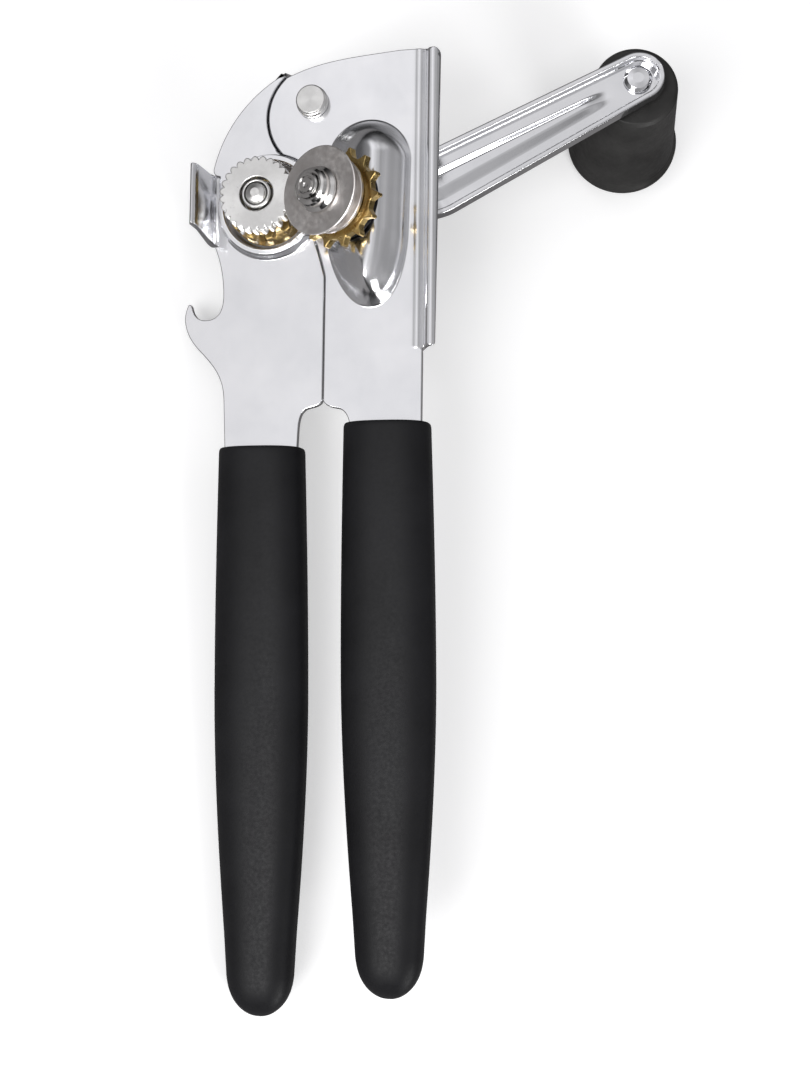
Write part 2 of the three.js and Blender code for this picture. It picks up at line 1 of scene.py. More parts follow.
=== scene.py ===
"""Looks of the manual can opener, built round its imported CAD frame."""

import json
import math

import bpy
import numpy as np
from mathutils import Matrix, Vector
from mathutils.geometry import delaunay_2d_cdt


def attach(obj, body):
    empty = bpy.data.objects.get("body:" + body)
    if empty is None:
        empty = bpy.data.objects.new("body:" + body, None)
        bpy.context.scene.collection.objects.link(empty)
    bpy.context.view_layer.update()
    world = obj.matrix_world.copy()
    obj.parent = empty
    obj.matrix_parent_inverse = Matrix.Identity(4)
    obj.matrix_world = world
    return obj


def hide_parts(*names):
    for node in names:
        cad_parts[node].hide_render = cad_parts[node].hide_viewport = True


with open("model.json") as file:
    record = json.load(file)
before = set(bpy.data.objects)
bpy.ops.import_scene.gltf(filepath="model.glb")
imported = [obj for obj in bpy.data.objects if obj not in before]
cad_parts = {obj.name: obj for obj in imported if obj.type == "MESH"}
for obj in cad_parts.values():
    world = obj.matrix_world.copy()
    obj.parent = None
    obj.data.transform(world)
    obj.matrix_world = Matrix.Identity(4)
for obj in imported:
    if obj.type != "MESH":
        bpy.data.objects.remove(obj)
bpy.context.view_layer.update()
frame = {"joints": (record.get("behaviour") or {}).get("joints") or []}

MM = 0.001
JOINTS = {j["name"]: j for j in frame["joints"]}

# ---- driving dimensions: millimetres in the head frame, whose origin is the pivot ----------------

SHEET = 2.0
BORE = 3.2  # of everything that turns on a shaft or stud
FEED = Vector((-11.8, -28.6, 0.0))  # where the drive shaft leaves the plates' front
CUTTER = Vector((7.0, -30.4, 19.0))  # centre of the cutter disc's front face
CUTTER_TILT = math.radians(23.6)
STUD_LENGTH = 13.0  # from the disc's front face down to the raised pad
TONGUE = Vector((2.4, -3.5, 0.0))  # centre of the cutter plate's round tongue
TONGUE_R = 15.0
EAR_R = 10.2  # feed plate about the pivot
CUP_R = 14.7  # edge of the feed plate's cup about the drive shaft
CUP_OPENING = 15.1  # the cutter plate's edge about the same cup
SEAM_X = 4.1
SEAM_GAP = 0.3
FORK_Y = -82.6  # where the handles part
RIVET_HOLE, STUD_HOLE, BUSH_HOLE = 3.1, 3.0, 4.8

# ---- frames: each piece is modelled in the head frame or on one of the joints' axes --------------


def axes_matrix(x, y, z, origin):
    m = Matrix.Identity(4)
    for i, axis in enumerate((x, y, z)):
        for row in range(3):
            m[row][i] = axis[row]
    m.translation = origin
    return m


def head_frame():
    """The head's frame, from the pivot's place and the crank joint."""
    pivot = Vector(JOINTS["handle_pivot"]["pos_m"])
    up = Vector(JOINTS["crank_spin"]["axis"]).normalized()
    along = Vector(JOINTS["crank_spin"]["pos_m"]) - pivot
    along = (along - up * along.dot(up)).normalized()
    across = up.cross(along)
    reach = FEED.length
    x = (along * FEED.x - across * FEED.y) / reach
    y = (along * FEED.y + across * FEED.x) / reach
    return axes_matrix(x, y, up, pivot)


def joint_frame(joint):
    """A frame on a joint's axis, its y as near the head's y as it can be."""
    z = Vector(JOINTS[joint]["axis"]).normalized()
    y = HEAD.col[1].to_3d()
    x = y.cross(z).normalized()
    return axes_matrix(x, z.cross(x), z, Vector(JOINTS[joint]["pos_m"]))


HEAD = head_frame()
FEED_AXIS = HEAD.copy()
FEED_AXIS.translation = JOINTS["crank_spin"]["pos_m"]
CUTTER_AXIS = joint_frame("cutter_spin")
KNOB_AXIS = joint_frame("knob_spin")


def crank_frame():
    """The crank's frame: on the feed axis, x towards the knob."""
    z = HEAD.col[2].to_3d()
    x = KNOB_AXIS.translation - FEED_AXIS.translation
    x = (x - z * x.dot(z)).normalized()
    return axes_matrix(x, z.cross(x), z, FEED_AXIS.translation)


CRANK = crank_frame()

# ---- materials -----------------------------------------------------------------------------------


class Nodes:
    """Short-hand for building the node tree of a material or a world."""

    def __init__(self, owner, coords):
        owner.use_nodes = True
        self.tree = owner.node_tree
        self.coords = self.add("TexCoord").outputs[coords]

    def add(self, kind, inputs=(), **settings):
        node = self.tree.nodes.new("ShaderNode" + kind)
        for name, value in settings.items():
            setattr(node, name, value)
        self.fill(node, inputs)
        return node

    def fill(self, node, inputs):
        """Each input takes a value, or a link from another node's output."""
        for socket, value in dict(inputs).items():
            if isinstance(value, bpy.types.NodeSocket):
                self.tree.links.new(value, node.inputs[socket])
            else:
                node.inputs[socket].default_value = value

    def noise(self, scale, detail, rough, vector=None):
        vector = vector or self.coords
        inputs = {"Vector": vector, "Scale": scale, "Detail": detail, "Roughness": rough}
        return self.add("TexNoise", inputs).outputs["Fac"]

    def rings(self, scale):
        """Turning marks about the piece's own z axis."""
        inputs = {"Vector": self.coords, "Scale": scale, "Distortion": 0.4, "Detail": 2.0}
        wave = self.add("TexWave", inputs, wave_type="RINGS", rings_direction="Z")
        return wave.outputs["Fac"]

    def spread(self, source, low, high, start=0.3, end=0.7, curve="LINEAR"):
        """Low to high, as the source goes from start to end."""
        inputs = {"Value": source, "From Min": start, "From Max": end, "To Min": low, "To Max": high}
        return self.add("MapRange", inputs, interpolation_type=curve).outputs["Result"]

    def mix(self, factor, a, b):
        a, b = ((*c, 1) if isinstance(c, tuple) else c for c in (a, b))
        return self.add("Mix", {0: factor, 6: a, 7: b}, data_type="RGBA").outputs[2]

    def bump(self, height, strength, distance, under=None):
        inputs = {"Height": height, "Strength": strength, "Distance": distance}
        if under:
            inputs["Normal"] = under
        return self.add("Bump", inputs).outputs["Normal"]

    def either(self, factor, a, b):
        return self.add("MixShader", {0: factor, 1: a, 2: b}).outputs[0]


class Surface(Nodes):
    """The nodes of a material round its one shader."""

    def __init__(self, name):
        self.material = bpy.data.materials.new(name)
        super().__init__(self.material, "Object")
        self.shader = self.tree.nodes["Principled BSDF"]

    def finished(self, inputs):
        self.fill(self.shader, inputs)
        return self.material


def chrome(name, dark, light, roughness, wave=0.00004):
    """Plating: faint clouds, wiped streaks in the gloss and a slow wave in the surface."""
    n = Surface(name)
    cloud = n.spread(n.noise(55, 4, 0.6), 0, 1)
    streaks = n.add("Mapping", {"Vector": n.coords, "Scale": (1.0, 0.45, 1.0)}).outputs["Vector"]
    smear = n.noise(140, 5, 0.65, streaks)
    slow = n.bump(n.noise(38, 2, 0.4), 0.35, wave)
    inputs = {"Metallic": 1.0, "Base Color": n.mix(cloud, dark, light)}
    inputs["Roughness"] = n.spread(smear, roughness * 0.75, roughness * 1.35)
    inputs["Normal"] = n.bump(n.noise(900, 3, 0.5), 0.08, 0.00001, slow)
    return n.finished(inputs)


def turned_metal(name, dark, light, roughness, ring_scale=900, ring_strength=0.12):
    """Metal off the lathe: rings round the axis under a fine grain."""
    n = Surface(name)
    cloud = n.spread(n.noise(210, 5, 0.6), 0, 1)
    grain = n.noise(700, 4, 0.6)
    ringed = n.bump(n.rings(ring_scale), ring_strength, 0.00003)
    inputs = {"Metallic": 1.0, "Anisotropic": 0.3, "Base Color": n.mix(cloud, dark, light)}
    inputs["Roughness"] = n.spread(grain, roughness * 0.8, roughness * 1.3)
    inputs["Normal"] = n.bump(grain, 0.1, 0.00003, ringed)
    return n.finished(inputs)


def soft_black(name, dark, light, roughness, grain_scale, grain, sheen=0.0):
    """Black vinyl or plastic with a fine grain; the roughness runs from the first value to the second."""
    n = Surface(name)
    cloud = n.spread(n.noise(60, 4, 0.6), 0, 1)
    grained = n.bump(n.noise(grain_scale, 4, 0.55), grain, 0.00006)
    inputs = {"Specular IOR Level": 0.22, "Sheen Weight": sheen, "Sheen Roughness": 0.5}
    inputs["Base Color"] = n.mix(cloud, dark, light)
    inputs["Roughness"] = n.spread(n.noise(grain_scale * 0.4, 4, 0.6), *roughness)
    inputs["Normal"] = n.bump(n.noise(45, 2, 0.5), 0.25, 0.0002, grained)
    return n.finished(inputs)


PLATED = (0.83, 0.835, 0.855), (0.92, 0.92, 0.935)
POLISHED = (0.64, 0.625, 0.61), (0.80, 0.79, 0.78)
NICKEL = (0.72, 0.715, 0.70), (0.85, 0.845, 0.83)
STEEL = (0.72, 0.68, 0.655), (0.95, 0.92, 0.90)
BRASS = (0.40, 0.27, 0.10), (0.62, 0.46, 0.19)
# Near black for the spacer behind the cutter gear: the spacer is a real part, and its near-black colour is
# painted shade behind the gear
SPACER_SHADE = (0.012, 0.012, 0.013), (0.03, 0.03, 0.032)
VINYL = (0.004, 0.004, 0.005), (0.008, 0.008, 0.0095)
PLASTIC = (0.019, 0.0185, 0.018), (0.040, 0.039, 0.038)
MATERIALS = {
    "plate_chrome": chrome("plated_sheet", *PLATED, 0.16),
    "arm_chrome": chrome("plated_arm", *PLATED, 0.10),
    "polished_chrome": chrome("polished", *POLISHED, 0.09, 0.000004),
    "nickel": turned_metal("matt_nickel", *NICKEL, 0.32),
    "hard_steel": turned_metal("ground_steel", *STEEL, 0.36, 1100, 0.2),
    "gear_brass": turned_metal("bare_brass", *BRASS, 0.30, 500, 0.06),
    "dark_steel": turned_metal("steel_in_painted_shade", *SPACER_SHADE, 0.4),
    "grip_vinyl": soft_black("soft_vinyl", *VINYL, (0.44, 0.58), 2600, 0.22, 0.02),
    "knob_plastic": soft_black("moulded_plastic", *PLASTIC, (0.36, 0.5), 1500, 0.12),
}
# Pieces of these materials are stored in the shared frame; rings need the others' own axes
BAKED = ("plate_chrome", "arm_chrome", "grip_vinyl", "knob_plastic")

# ---- mesh building -------------------------------------------------------------------------------


def add(name, verts, faces, place, body, slot, normals=None, stands_for=(), weighted=False):
    """One finished piece: vertices in millimetres in the frame `place`, riding on a CAD body."""
    mesh = bpy.data.meshes.new(name)
    verts = [Vector(v) * MM for v in verts]
    if slot in BAKED:
        verts = [place @ v for v in verts]
        turn = place.to_3x3()
        normals = normals and [turn @ Vector(n) for n in normals]
        place = Matrix.Identity(4)
    mesh.from_pydata([tuple(v) for v in verts], [], faces)
    mesh.validate(clean_customdata=False)
    mesh.shade_smooth()
    if normals is not None:
        mesh.normals_split_custom_set_from_vertices(normals)
    obj = bpy.data.objects.new(name, mesh)
    bpy.context.scene.collection.objects.link(obj)
    obj.matrix_world = place
    obj.data.materials.append(MATERIALS[slot])
    if weighted:
        m = obj.modifiers.new("weighted", "WEIGHTED_NORMAL")
        m.mode = "FACE_AREA"
        m.weight = 60  # over 50, so that large faces count for more
        m.keep_sharp = True
    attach(obj, body)
    if stands_for:
        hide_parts(*stands_for)


def round_trip(count):
    """Each index of a closed ring with the next one."""
    return [(i, (i + 1) % count) for i in range(count)]


NEARLY_STRAIGHT = 0.12  # a corner that turns by less, in radians, stays a single point


def filleted(points, radius, closed=False, steps=4):
    """A polyline with its corners rounded, as far as its neighbours leave room."""
    out = []
    count = len(points)
    for i, p in enumerate(points):
        p = Vector(p)
        if not closed and i in (0, count - 1):
            out.append(tuple(p))
            continue
        a, b = Vector(points[i - 1]), Vector(points[(i + 1) % count])
        u, v = (a - p), (b - p)
        cut = min(u.length, v.length) * 0.45  # just short of half, so that two fillets never meet
        u.normalize()
        v.normalize()
        turn = math.pi - u.angle(v)
        if turn < NEARLY_STRAIGHT:
            out.append(tuple(p))
            continue
        cut = min(cut, radius * math.tan(turn / 2))
        r = cut / math.tan(turn / 2)
        centre = p + (u + v).normalized() * (r / math.cos(turn / 2))
        start, end = p + u * cut - centre, p + v * cut - centre
        for k in range(steps + 1):
            t = k / steps
            w = math.sin((1 - t) * turn) * start + math.sin(t * turn) * end
            out.append(tuple(centre + w / math.sin(turn)))
    return out


def polyline_normals(points, closed):
    """Outward normals of a counter-clockwise line, each side weighted by its length."""
    pts = [Vector(p) for p in points]
    normals = []
    for i, p in enumerate(pts):
        total = Vector((0.0, 0.0))
        for a, b in ((i - 1, i), (i, i + 1)):
            if not closed and (a < 0 or b >= len(pts)):
                continue
            edge = pts[b % len(pts)] - pts[a]
            total += Vector((edge.y, -edge.x))
        normals.append(total.normalized() if total.length > 1e-9 else Vector((1.0, 0.0)))
    return normals


def revolve(line, closed, segments):
    """A line of (radius, z) turned about z: a closed one has a bore, an open one starts and ends on z."""
    flat = polyline_normals(line, closed)
    if not closed:
        flat[0], flat[-1] = Vector((0, -1)), Vector((0, 1))
    verts, normals, faces = [], [], []
    count = len(line)
    for s, t in round_trip(segments):
        c, sn = math.cos(2 * math.pi * s / segments), math.sin(2 * math.pi * s / segments)
        verts += [(r * c, r * sn, z) for r, z in line]
        normals += [(n.x * c, n.x * sn, n.y) for n in flat]
        for i, j in round_trip(count)[: count if closed else -1]:
            face = [s * count + i, t * count + i, t * count + j, s * count + j]
            # a point on the axis is the same point all round, so the face there is a triangle
            if line[i][0] < 1e-6:
                face = [face[0], face[2], face[3]]
            elif line[j][0] < 1e-6:
                face = face[:3]
            faces.append(face)
    return verts, faces, normals


def put(name, profile, place, body, slot, bore=0.0, fillet=0.25):
    """A turned piece: the outside profile of (radius, z) runs upwards, and a bore closes it inside."""
    line = filleted([(bore, profile[0][1]), *profile, (bore, profile[-1][1])], fillet, closed=bool(bore))
    verts, faces, normals = revolve(line, bool(bore), 96)
    add(name + "_turned", verts, faces, place, body, slot, normals, [name])


class Path:
    """A plane outline as dense points; an outer edge is walked counter-clockwise."""

    def __init__(self, x, y, step=0.8):
        self.points = [(x, y)]
        self.step = step

    def line(self, x, y):
        a = Vector(self.points[-1])
        b = Vector((x, y))
        n = max(1, int((b - a).length / self.step))
        self.points += [tuple(a.lerp(b, k / n)) for k in range(1, n + 1)]
        return self

    def curve(self, *controls):
        """A Bezier curve from the last point; the last pair of coordinates is its end."""
        pts = [Vector(self.points[-1])] + [Vector(c) for c in zip(controls[::2], controls[1::2])]
        size = sum((q - p).length for p, q in zip(pts, pts[1:]))
        n = max(4, int(size / self.step))
        for k in range(1, n + 1):
            row = list(pts)
            while len(row) > 1:
                row = [p.lerp(q, k / n) for p, q in zip(row, row[1:])]
            self.points.append(tuple(row[0]))
        return self

    def arc(self, cx, cy, r, start, end):
        """An arc from start to end, in degrees, joined on by a line."""
        a, b = math.radians(start), math.radians(end)
        first = (cx + r * math.cos(a), cy + r * math.sin(a))
        if (Vector(first) - Vector(self.points[-1])).length > 0.3:
            self.line(*first)
        n = max(4, int(abs(b - a) * r / self.step))
        for k in range(1, n + 1):
            t = a + (b - a) * k / n
            self.points.append((cx + r * math.cos(t), cy + r * math.sin(t)))
        return self


def circle(cx, cy, r, steps=72, turn=0.0):
    angles = [2 * math.pi * k / steps + turn for k in range(steps)]
    return [(cx + r * math.cos(a), cy + r * math.sin(a)) for a in angles]


def polar(centre, radii, steps):
    """Rings of points about a centre, every second ring turned by half a step."""
    rings = [circle(centre.x, centre.y, r, steps, (k % 2) * math.pi / steps) for k, r in enumerate(radii)]
    return np.array([p for ring in rings for p in ring])


def patch(x0, x1, y0, y1, size):
    """A square grid of points."""
    gx, gy = np.meshgrid(np.arange(x0, x1, size), np.arange(y0, y1, size))
    return np.column_stack([gx.ravel(), gy.ravel()])


def inside(points, loop):
    """Which points lie inside a loop."""
    px, py = points[:, 0], points[:, 1]
    hit = np.zeros(len(points), bool)
    a = np.array(loop)
    for (x0, y0), (x1, y1) in zip(a, np.roll(a, -1, axis=0)):
        crosses = (y0 > py) != (y1 > py)
        if y0 != y1:
            hit ^= crosses & (px < (x1 - x0) * (py - y0) / (y1 - y0) + x0)
    return hit


def on_sheet(points, rings):
    """Which points lie inside the first ring and outside all the others."""
    keep = inside(points, rings[0])
    for ring in rings[1:]:
        keep &= ~inside(points, ring)
    return keep


def distance(points, loop):
    """Distance of each point from a closed loop."""
    a = np.array(loop)
    best = np.full(len(points), np.inf)
    for p, q in zip(a, np.roll(a, -1, axis=0)):
        d = q - p
        t = np.clip(((points - p) @ d) / max(d @ d, 1e-12), 0, 1)
        best = np.minimum(best, np.linalg.norm(points - (p + t[:, None] * d), axis=1))
    return best


def distance_to_points(grid, points):
    best = np.full(len(grid), np.inf)
    for p in points:
        best = np.minimum(best, np.hypot(grid[:, 0] - p[0], grid[:, 1] - p[1]))
    return best


def step(x, low, high):
    """A smooth step from 0 at low to 1 at high."""
    t = np.clip((np.asarray(x, float) - low) / (high - low), 0, 1)
    return t * t * (3 - 2 * t)


def flat_height(points):
    return np.zeros(len(points))


def sheet_grid(rings, spacing, extra):
    """A staggered grid on a sheet's face, with the extra points in place of those they come near."""
    low, high = np.array(rings[0]).min(0), np.array(rings[0]).max(0)
    gx, gy = np.meshgrid(np.arange(low[0], high[0], spacing), np.arange(low[1], high[1], spacing))
    gx = gx + (np.arange(gx.shape[0]) % 2)[:, None] * spacing / 2
    grid = np.column_stack([gx.ravel(), gy.ravel()])
    for points, gap in extra:
        grid = np.vstack([grid[distance_to_points(grid, points) > gap], points])
    keep = on_sheet(grid, rings)
    for ring in rings:
        keep &= distance(grid, ring) > 0.3
    return grid[keep]


def pressed_sheet(outer, holes=(), height=flat_height, thickness=SHEET, edge=0.3, extra=(), spacing=1.1):
    """Sheet metal: an outline with holes, drawn up to `height`, its edges rounded.

    Returns vertices, exact normals and faces. z = height on the front, one thickness less behind.
    """
    turns = np.linspace(0, math.pi / 2, 4)  # round the front's edge, then round the back's
    arcs = [(edge * (1 - math.cos(a)), edge * (1 - math.sin(a)), a) for a in turns]
    levels = arcs[::-1] + [(inset, thickness - d, -a) for inset, d, a in arcs]
    plan, depth, tilt, out, faces, rings, index_of = [], [], [], [], [], [], []
    for loop in [list(outer)] + [list(reversed(h)) for h in holes]:
        normals = polyline_normals(loop, closed=True)
        front, count = len(plan), len(loop)
        for k, (inset, d, a) in enumerate(levels):
            here = len(plan)
            before = here - count
            plan += [(p[0] - n.x * inset, p[1] - n.y * inset) for p, n in zip(loop, normals)]
            depth += [d] * count
            tilt += [a] * count
            out += [(n.x, n.y) for n in normals]
            if k:
                faces += [[before + i, here + i, here + j, before + j] for i, j in round_trip(count)]
        rings.append(plan[front : front + count])
        index_of += [(front + i, here + i) for i in range(count)]
    coords = [Vector(p) for ring in rings for p in ring]
    edges, first = [], 0
    for ring in rings:
        edges += [(first + i, first + j) for i, j in round_trip(len(ring))]
        first += len(ring)
    for p in sheet_grid(rings, spacing, extra):
        index_of.append((len(plan), len(plan) + 1))
        coords.append(Vector(p))
        plan += [tuple(p), tuple(p)]
        depth += [0.0, thickness]
        tilt += [math.pi / 2, -math.pi / 2]
        out += [(0.0, 0.0), (0.0, 0.0)]
    _, _, tris, origin, _, _ = delaunay_2d_cdt(coords, edges, [], 1, 1e-5)
    tris = [[origin[v][0] for v in t] for t in tris]  # back to the order of coords
    centres = np.array([[sum(coords[v][axis] for v in t) / 3 for axis in (0, 1)] for t in tris])
    for t, good in zip(tris, on_sheet(centres, rings)):
        if good:
            faces.append([index_of[v][0] for v in t])
            faces.append([index_of[v][1] for v in reversed(t)])
    plan, depth, tilt, out = (np.array(a, float) for a in (plan, depth, tilt, out))
    return (*raised(plan, depth, tilt, out, height), faces)


def raised(plan, depth, tilt, out, height):
    """Vertices and normals of plane points lifted to a height field, each sunk by its depth."""
    e = 0.04  # the slopes are taken over twice this
    z = height(plan)
    dx = (height(plan + [e, 0]) - height(plan - [e, 0])) / (2 * e)
    dy = (height(plan + [0, e]) - height(plan - [0, e])) / (2 * e)
    normal = np.column_stack([-dx, -dy, np.ones(len(z))])
    normal /= np.linalg.norm(normal, axis=1)[:, None]
    verts = np.column_stack([plan, z]) - normal * depth[:, None]
    side = np.column_stack([out, np.zeros(len(z))])
    side -= normal * (side * normal).sum(1)[:, None]
    mixed = side * np.cos(tilt)[:, None] + normal * np.sin(tilt)[:, None]
    mixed /= np.linalg.norm(mixed, axis=1)[:, None]
    return verts.tolist(), mixed.tolist()


def loft(rings):
    """A closed skin over rings of equal counts, fanned at both ends."""
    count = len(rings[0])
    verts = [tuple(p) for ring in rings for p in ring]
    faces = []
    for r in range(len(rings) - 1):
        a, b = r * count, (r + 1) * count
        faces += [[a + i, a + j, b + j, b + i] for i, j in round_trip(count)]
    for ring, start, flip in ((rings[0], 0, -1), (rings[-1], (len(rings) - 1) * count, 1)):
        tip = len(verts)
        verts.append(tuple(sum((Vector(p) for p in ring), Vector()) / count))
        faces += [[start + i, start + j, tip][::flip] for i, j in round_trip(count)]
    return verts, faces


# ---- plates --------------------------------------------------------------------------------------


def tongue_meets_cup(gap):
    """Angles, in degrees, where the tongue's circle meets a circle about the feed axis."""
    away = FEED - TONGUE
    towards = math.degrees(math.atan2(away.y, away.x)) + 360
    d = away.length
    at_tongue = math.degrees(math.acos((TONGUE_R**2 + d * d - gap * gap) / (2 * TONGUE_R * d)))
    at_feed = math.degrees(math.acos((gap * gap + d * d - TONGUE_R**2) / (2 * gap * d)))
    return towards - at_tongue, towards - 180 + at_feed


def cutter_plate_outline():
    end, start = tongue_meets_cup(CUP_OPENING)
    p = Path(31.1, -68.5)
    p.line(34.1, -68.3).curve(34.7, -68.2, 34.8, -67.5)
    p.line(35.4, 11.6).curve(35.4, 13.2, 34.0, 13.4).line(24, 13.4)
    p.curve(13, 12.4, 2, 12.2, -7.6, 7.7)
    p.arc(TONGUE.x, TONGUE.y, TONGUE_R, 131.7, end)
    p.arc(FEED.x, FEED.y, CUP_OPENING, start, -34)
    p.curve(2.6, -42, SEAM_X, -48.4).line(SEAM_X, FORK_Y)
    p.curve(5, -84.2, 7.6, -84.5).curve(10, -84.8, 11.4, -86.6, 11.7, -91)
    p.line(12.6, -96).line(13, -112).line(31.0, -112).line(31.1, -96)
    return p.line(31.1, -69.0).points


# The lip along the cutter plate's right edge, as (x, z) across it: a low flute, a groove and a roll
LIP = [(27.6, 0.0), (28.6, 0.06), (29.4, 0.2), (30.3, 0.02), (31.0, -0.7), (31.4, -0.7)]
LIP += [(31.9, 0.3), (32.4, 0.72), (33.3, 0.85), (34.1, 0.7), (34.6, 0.25), (35.0, -0.6), (35.6, -1.7)]
LIP_FOOT = -69.3, -68.2


def lip_height(x, y):
    xs, zs = zip(*LIP)
    fine = np.linspace(xs[0], xs[-1], 120)
    rough = np.interp(fine, xs, zs)
    kernel = np.hanning(9)
    smooth = np.convolve(np.pad(rough, 4, mode="edge"), kernel / kernel.sum(), "valid")
    return np.interp(x, fine, smooth) * step(y, *LIP_FOOT)


def pad_outline():
    """The pad's foot, walked clockwise, so that its normals point inwards."""
    p = Path(4.7, -17.3, 0.5)
    p.arc(15.9, -17.3, 11.2, 180, 0)
    p.line(26.6, -38).curve(25.8, -50, 22.5, -57, 16.7, -57).curve(10.5, -57, 6.2, -47, 5, -40)
    return p.points


PAD = pad_outline()
PAD_FOOT, PAD_SHOULDER = 0.25, 9.0  # how far its side runs outwards and inwards of the outline


def pad_height(points):
    """The pad drawn up out of the cutter plate, square to the cutter's axis."""
    crest, softness = 17.5, 2.5
    x = points[:, 0] - softness * np.log1p(np.exp((points[:, 0] - crest) / softness))
    foot = CUTTER.x + STUD_LENGTH * math.sin(CUTTER_TILT)
    plateau = CUTTER.z - STUD_LENGTH * math.cos(CUTTER_TILT) + (x - foot) * math.tan(CUTTER_TILT)
    d = distance(points, PAD)
    d = np.where(inside(points, PAD), d, -d)
    t = np.clip((d + PAD_FOOT) / (PAD_FOOT + PAD_SHOULDER), 0, 1)
    return plateau * (1 - (1 - t) ** 2.1)


def cutter_plate_height(points):
    x, y = points[:, 0], points[:, 1]
    z = lip_height(x, y)
    near = (x > 3) & (x < 29) & (y < -4) & (y > -60)  # the pad is flat metal beyond this box
    if near.any():
        z[near] += pad_height(points[near])
    return z


def build_cutter_plate():
    stud_x = CUTTER.x + STUD_LENGTH * math.sin(CUTTER_TILT)
    holes = [circle(0, 0, RIVET_HOLE), circle(stud_x, CUTTER.y, STUD_HOLE)]
    lip_points = patch(28.2, 36, -71.5, 13.2, 0.55)
    inward = list(zip(PAD, polyline_normals(PAD, closed=True)))
    offsets = (-0.6, -0.25, 0.1, 0.5, 1.0, 1.6)
    foot = np.array([(x + n.x * d, y + n.y * d) for d in offsets for (x, y), n in inward])
    pad_points = patch(3.6, 28.2, -58.6, -4.6, 0.55)
    pad_points = pad_points[distance_to_points(pad_points, foot) > 0.35]
    extra = [(lip_points, 0.5), (foot, 0.5), (pad_points, 0.3)]
    outline = cutter_plate_outline()
    verts, normals, faces = pressed_sheet(outline, holes, cutter_plate_height, extra=extra)
    add("cutter_plate_sheet", verts, faces, HEAD, "cutter_handle", "plate_chrome", normals, ["cutter_plate"])


def feed_plate_outline():
    start = math.radians(-40)
    p = Path(EAR_R * math.cos(start), EAR_R * math.sin(start))
    p.arc(0, 0, EAR_R, -40, 120).line(-9.9, 7.9)
    p.arc(9.6, -25.6, 38.8, 120.2, 167.6).curve(-28.3, -18.6, -27.4, -19.0).line(-26.3, -19.3)
    p.line(-26.3, -38.8).line(-27.4, -39.1)
    p.curve(-24.6, -46, -24.7, -53.4).curve(-24.8, -57.6, -26.6, -59.4, -29.6, -59.4)
    p.curve(-32, -59.4, -33.2, -57.8, -33.6, -55.8).curve(-33.9, -54.6, -34.6, -54.9)
    p.curve(-36.6, -58.4, -35.6, -63.4, -31.5, -67.6).curve(-27, -72.2, -24.2, -75.4, -24.0, -82)
    p.line(-23.4, -96).line(-22.6, -112).line(-3.4, -112).line(-3, -96).line(-2.8, -91)
    p.curve(-2.7, -86.6, -1.9, -84.7, 0.6, -84.3).curve(3.2, -83.9, SEAM_X - SEAM_GAP, FORK_Y)
    p.line(SEAM_X - SEAM_GAP, -48.4)
    p.curve(2.25, -42, 0.36, -36.9).arc(FEED.x, FEED.y, CUP_R, -34, 56)
    return p.line(-1.5, -13.4).line(5, -12).line(7.4, -7.8).points


def feed_plate_height(points):
    """The cup's raised rim about the feed axis, less the step down behind the cutter plate's tongue."""
    from_feed = np.hypot(points[:, 0] - FEED.x, points[:, 1] - FEED.y)
    from_tongue = np.hypot(points[:, 0] - TONGUE.x, points[:, 1] - TONGUE.y)
    rim_height, behind = 3.0, SHEET + 0.3
    rim = rim_height * (1 - step(from_feed, 13.7, 14.75)) * step(from_feed, 10.7, 12.7)
    under = behind * (1 - step(from_tongue, TONGUE_R, 15.8)) * step(from_feed, 14.75, 15.6)
    return rim - under


def build_feed_plate():
    holes = [circle(0, 0, RIVET_HOLE), circle(FEED.x, FEED.y, BUSH_HOLE)]
    rings = polar(FEED, np.arange(10.3, 16.0, 0.24), 220)
    joggle = polar(TONGUE, np.arange(14.8, 16.3, 0.2), 260)
    extra = [(rings, 0.35), (joggle[distance_to_points(joggle, rings) > 0.3], 0.3)]
    outline = feed_plate_outline()
    verts, normals, faces = pressed_sheet(outline, holes, feed_plate_height, extra=extra)
    add("feed_plate_sheet", verts, faces, HEAD, "feed_handle", "plate_chrome", normals, ["feed_plate"])
    build_tab()


def build_tab():
    """Guide tab bent forward from the feed plate's left edge, its far end slanted and turned out."""
    section = [(-26.4, -1.95), (-28.4, -1.9), (-29.0, -1.2), (-29.2, 1), (-29.3, 12.2), (-30.1, 13.6)]
    section += [(-29.5, 14.9), (-28.4, 14.3), (-28.0, 12.9), (-27.5, 1.0), (-27.1, 0.3), (-26.2, -0.02)]
    section = filleted(section, 0.5, closed=True)
    normals = polyline_normals(section, closed=True)
    flip = -1 if signed_area(section) < 0 else 1
    rings = []
    low, high, tall, slant = -38.75, -19.5, 15.0, 2.5
    ends = [(low, 0.3), (low + 0.09, 0.09), (low + 0.3, 0)]
    ends += [(y, 0) for y in np.linspace(low + 2, high - 2, 8)]
    ends += [(high - 0.3, 0), (high - 0.09, 0.09), (high, 0.3)]
    for y, inset in ends:
        ring = []
        for (x, z), n in zip(section, normals):
            rise = max(z, 0) / tall
            share = (y - low) / (high - low)
            slanted = low + slant * rise + share * (high - low - (slant + 0.2) * rise)
            ring.append((x - flip * n.x * inset, slanted, z - flip * n.y * inset))
        rings.append(ring)
    verts, faces = loft(rings)
    add("guide_tab", verts, faces, HEAD, "feed_handle", "plate_chrome", weighted=True)


def signed_area(points):
    return sum(p[0] * q[1] - q[0] * p[1] for p, q in zip(points, points[1:] + points[:1])) / 2


# ---- grips ---------------------------------------------------------------------------------------

GRIP_LENGTH = 150.5
GRIP_MOUTH = 0.009  # share of the length over which the mouth is rounded in
GRIP_END = 0.07  # share of the length that rounds off the end


